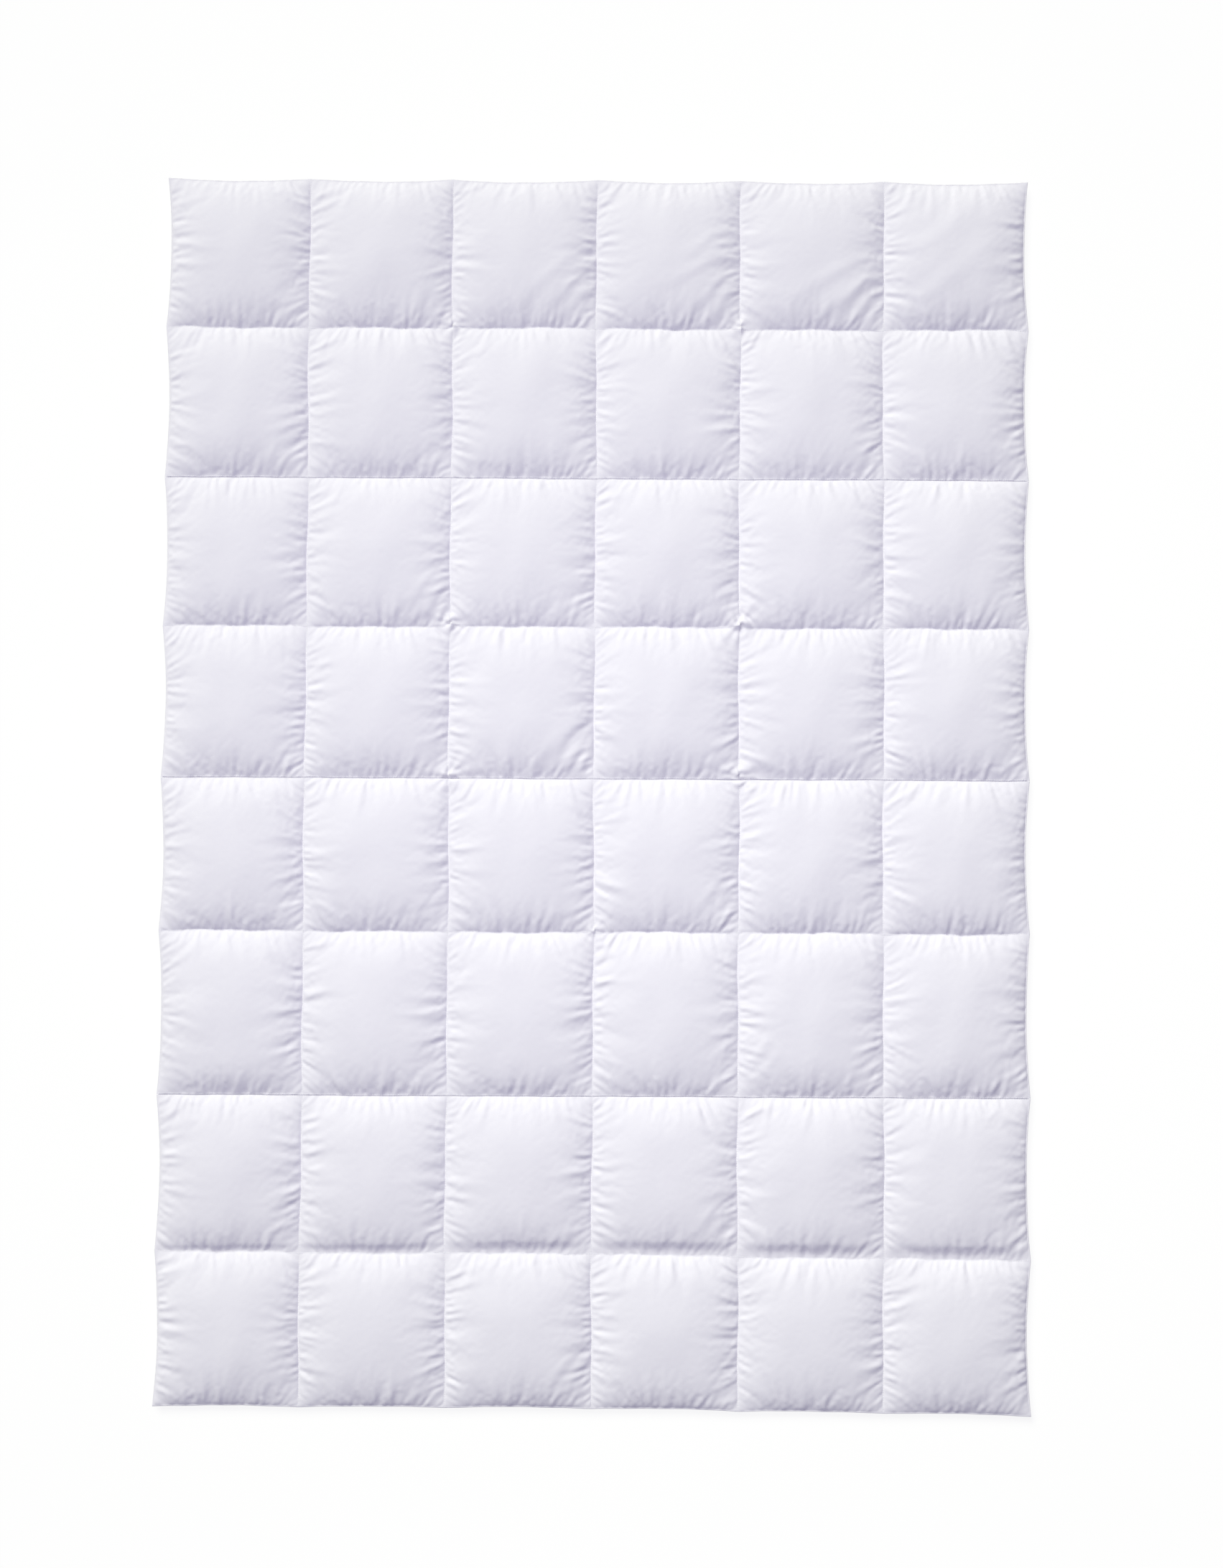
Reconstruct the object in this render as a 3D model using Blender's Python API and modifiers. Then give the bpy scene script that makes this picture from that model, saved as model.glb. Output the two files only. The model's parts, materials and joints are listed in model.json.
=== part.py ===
"""A quilted duvet, laid flat with its underside on z = 0. Width runs along X, and the head end is at +Y.

Lengthwise and crosswise seams sew an upper and a lower cloth together and part the fibre fill into
boxes. Three of the crosswise seams are the folds: the rows between two of them swing as one panel.
"""

import math

import bmesh
import bpy

# Overall sizes, in metres
WIDTH = 1.550
ROW_LENGTHS = (0.263, 0.272, 0.267, 0.272, 0.273, 0.291, 0.271, 0.275)  # from the head, seam to seam
BORDER = 0.008  # flat turned edge outside the closing stitch
EDGE_PULL = 0.006  # how far a full box draws the outer edge in between two seam ends

# Quilting
COLUMNS = 6
ROWS_PER_PANEL = 2
PANELS = ("head_panel", "upper_panel", "lower_panel", "foot_panel")
STILL_PANEL = "upper_panel"

# A filled box
TOP_RISE = 0.026  # from a seam up to the flat of the box
BOTTOM_DROP = 0.015  # from a seam down to the flat under the box
RAMP = 0.030  # how far from a seam the cloth has fully risen
FILL_INSET = 0.004  # the fibre starts this far inside the foot of the ramp

# Cloth and thread
CLOTH = 0.0003
THREAD_WIDTH = 0.0008
THREAD_THICKNESS = 0.0004

# Clearances
FIT_GAP = 0.0003  # between two pieces that touch
FOLD_ANGLE = math.radians(85)  # the furthest a panel swings, up or down
CLOTH_FOLD_CLEARANCE = 0.00003
THREAD_FOLD_CLEARANCE = 0.0001

# Worked out from the sizes above
ROWS = len(ROW_LENGTHS)
LENGTH = sum(ROW_LENGTHS) + 2 * BORDER
COLUMN_WIDTH = (WIDTH - 2 * BORDER) / COLUMNS
SEAM_HEIGHT = BOTTOM_DROP + FIT_GAP / 2 + CLOTH
TOP_STEEPNESS = TOP_RISE / RAMP
BOTTOM_STEEPNESS = BOTTOM_DROP / RAMP

# The upper cloth is thicker, measured upright, along a seam's valley than on the flat.
VALLEY_TOP = FIT_GAP / 2 + CLOTH * math.hypot(1, TOP_STEEPNESS)
THREAD_BOTTOM = VALLEY_TOP + TOP_STEEPNESS * THREAD_WIDTH / 2 + FIT_GAP * math.hypot(1, TOP_STEEPNESS)
THREAD_TOP = THREAD_BOTTOM + THREAD_THICKNESS

# What stands this high above a fold's axis has to stay this far from the fold to pass at FOLD_ANGLE.
CLOTH_SETBACK = (FIT_GAP / 2 + CLOTH) * math.tan(FOLD_ANGLE / 2) + CLOTH_FOLD_CLEARANCE
THREAD_SETBACK = THREAD_TOP * math.tan(FOLD_ANGLE / 2) + THREAD_FOLD_CLEARANCE
FOLD_LAND = THREAD_SETBACK + THREAD_WIDTH + FIT_GAP  # flat cloth beside a fold, before the ramp


def seam_x(column):
    """Where the seam on the left of a column lies, counted from 0. The last one is the right closing stitch."""
    return -WIDTH / 2 + BORDER + column * COLUMN_WIDTH


def seam_y(row):
    """Where the seam on the head side of a row lies, counted from 0."""
    return LENGTH / 2 - BORDER - sum(ROW_LENGTHS[:row])


def is_fold(row):
    """Whether the seam on the head side of this row is one that the duvet folds at."""
    return 0 < row < ROWS and row % ROWS_PER_PANEL == 0


def land(row):
    """The flat cloth on each side of a crosswise seam."""
    return FOLD_LAND if is_fold(row) else 0.0


def rise(distance):
    """How far the cloth has risen at a distance from the foot of its ramp, from 0 to 1."""
    return min(1.0, max(0.0, distance / RAMP))


def rise_across(x):
    """The share of the full rise that the lengthwise seams allow at x."""
    if abs(x) >= seam_x(COLUMNS):
        return 0.0
    return rise(min(abs(x - seam_x(column)) for column in range(COLUMNS + 1)))


def rise_along(y):
    """The share of the full rise that the crosswise seams allow at y."""
    if not seam_y(ROWS) < y < seam_y(0):
        return 0.0
    return rise(min(abs(y - seam_y(row)) - land(row) for row in range(ROWS + 1)))


def in_outer_box(place, low_seam, high_seam, edge):
    """How far a place lies in an outer box, from 0 at that box's inner seam to 1 or -1 at the outer edge."""
    if place > high_seam:
        return (place - high_seam) / (edge - high_seam)
    return min(0.0, (place - low_seam) / (edge + low_seam))


def drawn_in(x, y):
    """A point of the flat plan after the full boxes have drawn the outer edges in."""
    across = in_outer_box(x, seam_x(1), seam_x(COLUMNS - 1), WIDTH / 2)
    along = in_outer_box(y, seam_y(ROWS - 1), seam_y(1), LENGTH / 2)
    return x - EDGE_PULL * rise_along(y) * across, y - EDGE_PULL * rise_across(x) * along


def column_lines(column, inset=0.0):
    """The four grid lines across one column: the feet of its ramps, inset, and their tops."""
    left, right = seam_x(column), seam_x(column + 1)
    return [left + inset, left + RAMP, right - RAMP, right - inset]


def row_lines(row, inset=0.0):
    """The four grid lines across one row, from the foot side to the head side."""
    low, high = seam_y(row + 1) + land(row + 1), seam_y(row) - land(row)
    return [low + inset, low + RAMP, high - RAMP, high - inset]


def panel_rows(panel):
    """The rows of a panel, counted from 0 at the head."""
    return range(panel * ROWS_PER_PANEL, (panel + 1) * ROWS_PER_PANEL)


def panel_ends(panel, setback, edge):
    """Where a panel's piece ends, low and high: set back from a fold, or at the outer edge."""
    first, last = panel * ROWS_PER_PANEL, (panel + 1) * ROWS_PER_PANEL
    low = seam_y(last) + setback if is_fold(last) else -edge
    high = seam_y(first) - setback if is_fold(first) else edge
    return low, high


def without_repeats(places):
    """The places in rising order, with those that two boxes share kept once."""
    kept = []
    for place in sorted(places):
        if not kept or place - kept[-1] > FIT_GAP / 10:
            kept.append(place)
    return kept


def grid(xs, ys, height, kept=None):
    """A sheet with a point wherever two grid lines cross, drawn in at the outer edges.

    Each corner of a box gets a crease from its foot up to its flat, as on a hipped roof. With kept,
    the sheet has only the faces whose middle that function accepts.
    """
    mesh = bmesh.new()
    bmesh.ops.create_grid(mesh, x_segments=len(xs) - 1, y_segments=len(ys) - 1, size=1)
    for vert in mesh.verts:
        x = xs[round((vert.co.x + 1) / 2 * (len(xs) - 1))]
        y = ys[round((vert.co.y + 1) / 2 * (len(ys) - 1))]
        vert.co = (x, y, 0)
    if kept:
        middles = {face: face.calc_center_median() for face in mesh.faces}
        dropped = [face for face, middle in middles.items() if not kept(middle.x, middle.y)]
        bmesh.ops.delete(mesh, geom=dropped, context="FACES")
    for vert in mesh.verts:
        x, y = vert.co.xy
        lift = min(rise_across(x), rise_along(y))
        vert.co = (*drawn_in(x, y), height(lift))
    for face in list(mesh.faces):
        heights = [abs(vert.co.z - height(0)) for vert in face.verts]
        top = heights.index(max(heights))
        others = heights[:top] + heights[top + 1 :]
        if max(heights) - max(others) > FIT_GAP:
            bmesh.ops.connect_verts(mesh, verts=[face.verts[top], face.verts[top - 2]])
    return mesh


def inside_top(lift):
    """Height of the upper cloth's inner face above the seams."""
    return FIT_GAP / 2 + TOP_RISE * lift


def inside_bottom(lift):
    """Height of the lower cloth's inner face, which is below the seams."""
    return -FIT_GAP / 2 - BOTTOM_DROP * lift


def fill_top(lift):
    """Height of the fibre's upper face, clear of the upper cloth."""
    return inside_top(lift) - FIT_GAP * math.hypot(1, TOP_STEEPNESS)


def fill_bottom(lift):
    """Height of the fibre's lower face, clear of the lower cloth."""
    return inside_bottom(lift) + FIT_GAP * math.hypot(1, BOTTOM_STEEPNESS)


def new_material(name, colour, roughness):
    """A plain, non-metallic Principled material."""
    material = bpy.data.materials.new(name)
    material.use_nodes = True
    shader = material.node_tree.nodes["Principled BSDF"]
    shader.inputs["Base Color"].default_value = (*colour, 1)
    shader.inputs["Roughness"].default_value = roughness
    shader.inputs["Metallic"].default_value = 0
    return material


def add_object(name, data, material, parent, place):
    """Puts a mesh or curve in the duvet's collection, with its own origin at a world place."""
    thing = bpy.data.objects.new(name, data)
    thing.data.materials.append(material)
    thing.parent = parent
    thing.location = [at - start for at, start in zip(place, parent.location)]
    bpy.data.collections["duvet"].objects.link(thing)
    return thing


def finished_mesh(name, sheet, origin):
    """The mesh data of a sheet or pad, measured from its own origin."""
    bmesh.ops.translate(sheet, verts=sheet.verts, vec=(-origin[0], -origin[1], 0))
    data = bpy.data.meshes.new(name)
    sheet.to_mesh(data)
    sheet.free()
    return data


def add_thickness(thing, thickness):
    """Makes an open sheet solid, on the side that its faces point to."""
    skin = thing.modifiers.new("thickness", "SOLIDIFY")
    skin.thickness = thickness
    skin.offset = 1
    skin.use_even_offset = True
    skin.use_quality_normals = True


def add_shell(name, panel, height, faces_up, material, hinge):
    """One panel of the upper or lower cloth: a shaped sheet with Solidify on its outer side."""
    low, high = panel_ends(panel, CLOTH_SETBACK, LENGTH / 2)
    xs = [-WIDTH / 2, WIDTH / 2]
    for column in range(COLUMNS):
        xs += column_lines(column)
    ys = [low, high]
    for row in panel_rows(panel):
        ys += row_lines(row)
    sheet = grid(without_repeats(xs), without_repeats(ys), height)
    if not faces_up:
        bmesh.ops.reverse_faces(sheet, faces=sheet.faces)
    origin = hinge.location
    shell = add_object(name, finished_mesh(name, sheet, origin), material, hinge, origin)
    add_thickness(shell, CLOTH)


def add_fill(row, column, material, hinge):
    """The pad of fibre inside one box."""
    name = f"fill_r{row + 1}_c{column + 1}"
    pad = grid(column_lines(column, FILL_INSET), row_lines(row, FILL_INSET), fill_top)
    lowered = bmesh.ops.extrude_face_region(pad, geom=pad.faces[:])["geom"]
    for vert in (item for item in lowered if isinstance(item, bmesh.types.BMVert)):
        lift = (vert.co.z - fill_top(0)) / TOP_RISE
        vert.co.z = fill_bottom(lift)
    bmesh.ops.recalc_face_normals(pad, faces=pad.faces)
    origin = ((seam_x(column) + seam_x(column + 1)) / 2, (seam_y(row) + seam_y(row + 1)) / 2, SEAM_HEIGHT)
    add_object(name, finished_mesh(name, pad, origin), material, hinge, origin)


def fold_stitched_at(panel):
    """Which folds' seams this panel carries, as (low, high). Each fold has one seam, towards the still panel."""
    still = PANELS.index(STILL_PANEL)
    return still <= panel < len(PANELS) - 1, 0 < panel <= still


def add_thread(name, panel, material, hinge):
    """A panel's stitching: a flat lattice that lies in the valleys of the upper cloth."""
    half = THREAD_WIDTH / 2
    low, high = panel_ends(panel, THREAD_SETBACK, seam_y(0) + half)
    low_fold, high_fold = fold_stitched_at(panel)
    rows = panel_rows(panel)
    lengthwise = [(seam_x(column) - half, seam_x(column) + half) for column in range(COLUMNS + 1)]
    crosswise = [(seam_y(row) - half, seam_y(row) + half) for row in range(ROWS + 1) if not is_fold(row)]
    crosswise += [(low, low + THREAD_WIDTH)] * low_fold + [(high - THREAD_WIDTH, high)] * high_fold
    crosswise = [edges for edges in crosswise if low - FIT_GAP < edges[0] < high]

    xs = [edge for edges in lengthwise for edge in edges]
    ys = [low, high] + [edge for edges in crosswise for edge in edges]
    for row in rows:
        ys += row_lines(row)[1:3]
    if not (is_fold(rows[0]) and is_fold(rows[-1] + 1)):
        for column in range(COLUMNS):
            xs += column_lines(column)[1:3]

    def stitched(x, y):
        return any(a < x < b for a, b in lengthwise) or any(a < y < b for a, b in crosswise)

    lattice = grid(without_repeats(xs), without_repeats(ys), lambda lift: THREAD_BOTTOM, stitched)
    origin = hinge.location
    thread = add_object(name, finished_mesh(name, lattice, origin), material, hinge, origin)
    add_thickness(thread, THREAD_THICKNESS)


def add_hinge(panel):
    """An empty on the axis that a panel swings about, or in the middle of the panel that stays still."""
    still = PANELS.index(STILL_PANEL)
    hinge = bpy.data.objects.new(f"{PANELS[panel]}_hinge", None)
    if panel < still:
        y = seam_y((panel + 1) * ROWS_PER_PANEL)
    elif panel > still:
        y = seam_y(panel * ROWS_PER_PANEL)
    else:
        y = seam_y(panel * ROWS_PER_PANEL + ROWS_PER_PANEL // 2)
    hinge.location = (0, y, SEAM_HEIGHT)
    bpy.data.collections["duvet"].objects.link(hinge)
    return hinge


def clear_scene():
    """Removes what the startup file holds."""
    for thing in list(bpy.data.objects):
        bpy.data.objects.remove(thing, do_unlink=True)


def main():
    """Builds the duvet, panel by panel from the head."""
    clear_scene()
    bpy.context.scene.collection.children.link(bpy.data.collections.new("duvet"))
    cloth = new_material("shell_fabric", (0.86, 0.86, 0.90), 0.85)
    fibre = new_material("fibre_fill", (0.90, 0.90, 0.88), 0.95)
    stitch = new_material("quilting_thread", (0.80, 0.80, 0.85), 0.60)
    for panel, panel_name in enumerate(PANELS):
        place = panel_name.removesuffix("_panel")
        hinge = add_hinge(panel)
        add_shell(f"top_shell_{place}", panel, inside_top, True, cloth, hinge)
        add_shell(f"bottom_shell_{place}", panel, inside_bottom, False, cloth, hinge)
        add_thread(f"quilting_thread_{place}", panel, stitch, hinge)
        for row in panel_rows(panel):
            for column in range(COLUMNS):
                add_fill(row, column, fibre, hinge)


main()
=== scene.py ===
"""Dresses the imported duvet: simulated upper and lower cloth, fibre pads, stitches, finishes and a plain studio.

The duvet lies flat with its head end at +Y. Its cloth is one simulated sheet, pinned along every seam and
blown up by its fill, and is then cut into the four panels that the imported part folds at. Lengths are in metres.
"""

from __future__ import annotations

import json
import logging
import math
from collections.abc import Callable, Sequence
from dataclasses import dataclass, field
from enum import Enum

import bpy
import numpy as np
from mathutils import Matrix, Vector


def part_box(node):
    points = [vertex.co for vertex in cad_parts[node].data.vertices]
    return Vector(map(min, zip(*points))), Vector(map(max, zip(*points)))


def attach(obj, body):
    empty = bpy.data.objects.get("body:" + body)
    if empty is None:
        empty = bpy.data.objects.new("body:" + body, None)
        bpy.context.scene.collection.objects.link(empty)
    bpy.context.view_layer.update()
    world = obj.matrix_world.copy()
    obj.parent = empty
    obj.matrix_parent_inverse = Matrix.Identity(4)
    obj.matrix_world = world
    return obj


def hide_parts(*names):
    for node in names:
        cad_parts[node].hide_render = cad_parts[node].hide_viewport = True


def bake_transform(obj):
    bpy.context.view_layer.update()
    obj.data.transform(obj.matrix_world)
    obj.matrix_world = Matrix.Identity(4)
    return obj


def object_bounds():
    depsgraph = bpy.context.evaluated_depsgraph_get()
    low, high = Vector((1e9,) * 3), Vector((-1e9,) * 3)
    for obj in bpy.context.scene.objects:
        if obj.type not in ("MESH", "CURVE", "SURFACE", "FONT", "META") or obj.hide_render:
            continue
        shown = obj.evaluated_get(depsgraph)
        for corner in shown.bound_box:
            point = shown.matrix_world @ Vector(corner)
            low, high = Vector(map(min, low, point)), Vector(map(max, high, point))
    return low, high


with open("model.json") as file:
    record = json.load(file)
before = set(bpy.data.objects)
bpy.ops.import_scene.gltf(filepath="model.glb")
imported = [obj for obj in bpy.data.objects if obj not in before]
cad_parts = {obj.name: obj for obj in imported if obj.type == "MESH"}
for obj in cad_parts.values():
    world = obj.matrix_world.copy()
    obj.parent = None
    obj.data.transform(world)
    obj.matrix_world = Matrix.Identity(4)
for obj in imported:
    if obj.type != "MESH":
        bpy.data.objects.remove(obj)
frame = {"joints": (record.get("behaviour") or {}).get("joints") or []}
CAD_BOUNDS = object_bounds()

LOG = logging.getLogger("duvet")
MM = 0.001
PANELS = ("head", "upper", "lower", "foot")
ROWS, COLUMNS = 8, 6
ROWS_IN_PANEL = ROWS // len(PANELS)
SEED = 41


class Side(Enum):
    """Which of the two cloths a piece belongs to. The value is the way its outer face points."""

    UPPER = 1
    LOWER = -1


# --------------------------------------------------------------------------- the plan of the quilting


@dataclass(frozen=True)
class Quilting:
    """Where the seams lie, in metres, in rising order of X and of Y."""

    seams_x: tuple[float, ...]  # lengthwise seams with the closing stitch at each end
    seams_y: tuple[float, ...]  # crosswise seams, foot first, with the closing stitch at each end
    folds: tuple[float, ...]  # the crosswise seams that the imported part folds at, foot first
    edge_x: float  # half the width
    edge_y: float  # half the length
    seam_height: float  # height of the seams above the surface that the duvet lies on
    top_rise: float  # from a seam up to the top of a box
    bottom_drop: float  # from a seam down to the underside
    setback: float  # how far each panel's cloth stays from a fold

    @classmethod
    def from_frame(cls, border: float) -> Quilting:
        """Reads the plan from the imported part.

        Args:
            border: Width of the flat edge outside the closing stitch.

        Returns:
            The plan that every piece is laid out on.
        """
        low, high = (Vector(corner) for corner in CAD_BOUNDS)
        columns = [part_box(f"fill_r1_c{column}") for column in range(1, COLUMNS + 1)]
        rows = [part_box(f"fill_r{row}_c1") for row in range(ROWS, 0, -1)]
        inner_x = [(a[1].x + b[0].x) / 2 for a, b in zip(columns, columns[1:])]
        inner_y = [(a[1].y + b[0].y) / 2 for a, b in zip(rows, rows[1:])]
        joints = [joint["pos_m"] for joint in frame["joints"]]
        folds = tuple(sorted(place[1] for place in joints))
        inner_y = [min((*folds, y), key=lambda fold: abs(fold - y) > 2 * MM) for y in inner_y]
        return cls(
            seams_x=(low.x + border, *inner_x, high.x - border),
            seams_y=(low.y + border, *inner_y, high.y - border),
            folds=folds,
            edge_x=high.x,
            edge_y=high.y,
            seam_height=joints[0][2],
            top_rise=high.z - joints[0][2],
            bottom_drop=joints[0][2] - low.z,
            setback=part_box("top_shell_head")[0].y - folds[-1],
        )


def nearest(places: np.ndarray, seams: Sequence[float]) -> np.ndarray:
    """Signed distance from each place to its nearest seam.

    Args:
        places: Coordinates along one axis.
        seams: Seam coordinates along the same axis.

    Returns:
        An array like places, negative where the seam lies further along the axis.
    """
    gaps = places[..., None] - np.asarray(seams)
    closest = np.abs(gaps).argmin(-1)
    return np.take_along_axis(gaps, closest[..., None], -1)[..., 0]


def box_of(places: np.ndarray, seams: Sequence[float]) -> np.ndarray:
    """Number of the box that each place lies in, from 0, along one axis."""
    return np.clip(np.searchsorted(seams, places, "right") - 1, 0, len(seams) - 2)


def along_box(places: np.ndarray, seams: Sequence[float]) -> np.ndarray:
    """How far each place lies through its box, from 0 at one seam to 1 at the next."""
    box = box_of(places, seams)
    start, end = np.asarray(seams)[box], np.asarray(seams)[box + 1]
    return np.clip((places - start) / (end - start), 0, 1)


def arch(share: np.ndarray) -> np.ndarray:
    """A parabola over a box, from 0 at its seams to 1 in its middle."""
    return 4 * share * (1 - share)


@dataclass
class Grid:
    """Points of an even plan, with where each one lies in its box."""

    quilting: Quilting  # the plan of the seams
    lines_x: np.ndarray  # X of the grid lines
    lines_y: np.ndarray  # Y of the grid lines

    def __post_init__(self) -> None:
        """Makes the points and measures them."""
        q = self.quilting
        self.x, self.y = np.meshgrid(self.lines_x, self.lines_y)
        self.gap_x, self.gap_y = nearest(self.x, q.seams_x), nearest(self.y, q.seams_y)
        self.share_x, self.share_y = along_box(self.x, q.seams_x), along_box(self.y, q.seams_y)
        self.to_fold = np.abs(nearest(self.y, q.folds))

    def near_corner(self, reach: float) -> np.ndarray:
        """From 0 to 1, how near each point is to a corner of its box."""
        return np.exp(-(self.gap_x**2 + self.gap_y**2) / (2 * reach**2))


@dataclass
class Lattice:
    """The grid lines of the cloth, with one on every seam: even ones for the simulation, finer ones to show."""

    quilting: Quilting  # the plan of the seams
    cells: tuple[int, int] = (42, 44)  # simulated grid cells across and along one box
    # shown grid cells across and along one box, between the close lines beside its seams
    fine_cells: tuple[int, int] = (82, 84)
    beside_seam: tuple[float, ...] = (0.0011, 0.0024, 0.0043)  # where the close lines beside a seam lie from it

    def __post_init__(self) -> None:
        """Lays out both grids, with the numbers of the grid lines that are seams."""
        self.simulated, self.columns, self.rows = self._grid(self.cells, ())
        self.shown, self.seam_columns, self.seam_rows = self._grid(self.fine_cells, self.beside_seam)

    def _grid(self, cells: tuple[int, int], close: tuple[float, ...]) -> tuple[Grid, list[int], list[int]]:
        """One grid.

        Args:
            cells: Cells across and along one box.
            close: Where extra lines beside a seam lie, in metres from it.

        Returns:
            The grid, and which of its columns and rows lie on seams.
        """
        q = self.quilting
        xs, columns = self._lines(q.seams_x, q.edge_x, cells[0], close)
        ys, rows = self._lines(q.seams_y, q.edge_y, cells[1], close)
        return Grid(q, xs, ys), columns, rows

    def _lines(
        self, seams: Sequence[float], edge: float, cells: int, close: tuple[float, ...]
    ) -> tuple[np.ndarray, list[int]]:
        """Grid lines along one axis.

        Args:
            seams: The seams along it.
            edge: Half the duvet's size along it.
            cells: Cells in one box.
            close: Where extra lines beside a seam lie, in metres from it.

        Returns:
            The lines, and the numbers of those that are seams.
        """
        first = close[-1] if close else 0.0
        runs = [np.array([-edge])]
        for start, end in zip(seams, seams[1:]):
            middle = np.linspace(start + first, end - first, cells + 1)[: None if close else -1]
            beside = [start, *(start + gap for gap in close[:-1])] if close else []
            beyond = [end - gap for gap in close[-2::-1]] if close else []
            runs.append(np.concatenate([beside, middle, beyond]))
        marks = [1 + len(runs[1]) * number for number in range(len(seams))]
        return np.concatenate([*runs, [seams[-1], edge]]), marks

    def panel_rows(self) -> list[slice]:
        """The shown grid rows of each panel, head first, both ends included."""
        cuts = [0, *self.fold_rows(), len(self.shown.lines_y) - 1]
        return [slice(start, end + 1) for start, end in zip(cuts, cuts[1:])][::-1]

    def fold_rows(self) -> list[int]:
        """The shown grid rows that lie on a fold, foot first."""
        return self.seam_rows[ROWS_IN_PANEL:-1:ROWS_IN_PANEL]


def resampled(values: np.ndarray, lines: np.ndarray, wanted: np.ndarray, axis: int) -> np.ndarray:
    """A field on other grid lines, on a smooth curve through its values.

    Args:
        values: The field, with its grid lines along the given axis.
        lines: Coordinates of those lines.
        wanted: Coordinates of the new lines.
        axis: The axis.

    Returns:
        The field on the new lines.
    """
    place = np.interp(wanted, lines, np.arange(len(lines)))
    low = np.minimum(place.astype(int), len(lines) - 2)
    t = (place - low).reshape(-1, *[1] * (values.ndim - 1))
    field_ = np.moveaxis(values, axis, 0)
    p0, p1, p2, p3 = (field_[np.clip(low + step, 0, len(lines) - 1)] for step in (-1, 0, 1, 2))
    found = p1 + 0.5 * t * (p2 - p0 + t * (2 * p0 - 5 * p1 + 4 * p2 - p3 + t * (3 * (p1 - p2) + p3 - p0)))
    return np.moveaxis(found, 0, axis)


@dataclass
class Stray:
    """A smooth random line made of sine waves."""

    lengths: tuple[float, ...]  # wavelengths
    rng: np.random.Generator  # source of the phases

    def __post_init__(self) -> None:
        """Draws the phases."""
        self.phases = self.rng.random(len(self.lengths))

    def at(self, places: np.ndarray) -> np.ndarray:
        """Values of about -1 to 1 at the places along the line."""
        parts = [np.sin(2 * math.pi * (places / n + phase)) for n, phase in zip(self.lengths, self.phases)]
        return np.sum(parts, axis=0) / math.sqrt(len(parts))


# --------------------------------------------------------------------------- the simulated cloth


@dataclass(frozen=True)
class ClothRecipe:
    """How the cloth is blown up between its seams."""

    fullness: float = 0.040  # how much larger the cloth is cut than the plan it is sewn to
    corner_fullness: float = 0.012  # the same near the corners of a box
    corner_reach: float = 0.045  # how far from a corner that holds
    frames: int = 14  # frames simulated
    quality: int = 4  # solver steps in each frame
    mass: float = 0.003  # mass of one grid point, in kilograms
    stretch: float = 30.0  # stiffness against stretch and compression
    shear: float = 3.0  # stiffness against shear
    bending: float = 1.5  # stiffness against bending
    pressure: float = 4.0  # pressure of the fill
    roughness: float = 0.0004  # height of the random start that the wrinkles grow from
    dome: float = 0.002  # height of the start shape
    dome_reach: float = 0.03  # distance from a seam over which it rises

    def simulate(self, flat: np.ndarray, pinned: np.ndarray, corner: np.ndarray) -> np.ndarray:
        """Runs the cloth simulation on a grid of points.

        Args:
            flat: Grid of points, shape (rows, columns, 3).
            pinned: Which points the stitching holds.
            corner: From 0 to 1, how near each point is to a corner of a box.

        Returns:
            The points after the simulation, in the same shape.
        """
        sheet = new_object("cloth_in_simulation", grid_mesh("cloth_in_simulation", flat, 1))
        held = sheet.vertex_groups.new(name="held")
        held.add(np.flatnonzero(pinned).tolist(), 1.0, "REPLACE")
        corners = sheet.vertex_groups.new(name="corners")
        levels = np.round(corner.reshape(-1) * 10).astype(int)
        for level in range(1, 11):
            corners.add(np.flatnonzero(levels == level).tolist(), level / 10, "REPLACE")
        cloth = sheet.modifiers.new("cloth", "CLOTH")
        self._apply(cloth.settings)
        cloth.collision_settings.use_collision = False
        cloth.collision_settings.use_self_collision = False
        cloth.point_cache.frame_start, cloth.point_cache.frame_end = 1, self.frames
        scene = bpy.context.scene
        for number in range(1, self.frames + 1):
            scene.frame_set(number)
        shaped = sheet.evaluated_get(bpy.context.evaluated_depsgraph_get()).to_mesh()
        found = np.empty(3 * len(shaped.vertices))
        shaped.vertices.foreach_get("co", found)
        mesh = sheet.data
        bpy.data.objects.remove(sheet)
        bpy.data.meshes.remove(mesh)
        scene.frame_set(1)
        return found.reshape(flat.shape)

    def _apply(self, settings: bpy.types.ClothSettings) -> None:
        """Sets the solver's own values.

        Args:
            settings: The cloth modifier's settings.
        """
        settings.quality = self.quality
        settings.mass = self.mass
        settings.tension_stiffness = settings.compression_stiffness = self.stretch
        settings.shear_stiffness = self.shear
        settings.bending_stiffness = self.bending
        settings.use_pressure = True
        settings.uniform_pressure_force = self.pressure
        settings.effector_weights.gravity = 0
        settings.vertex_group_mass = "held"
        settings.vertex_group_shrink = "corners"
        settings.shrink_min, settings.shrink_max = -self.fullness, -self.corner_fullness


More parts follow.
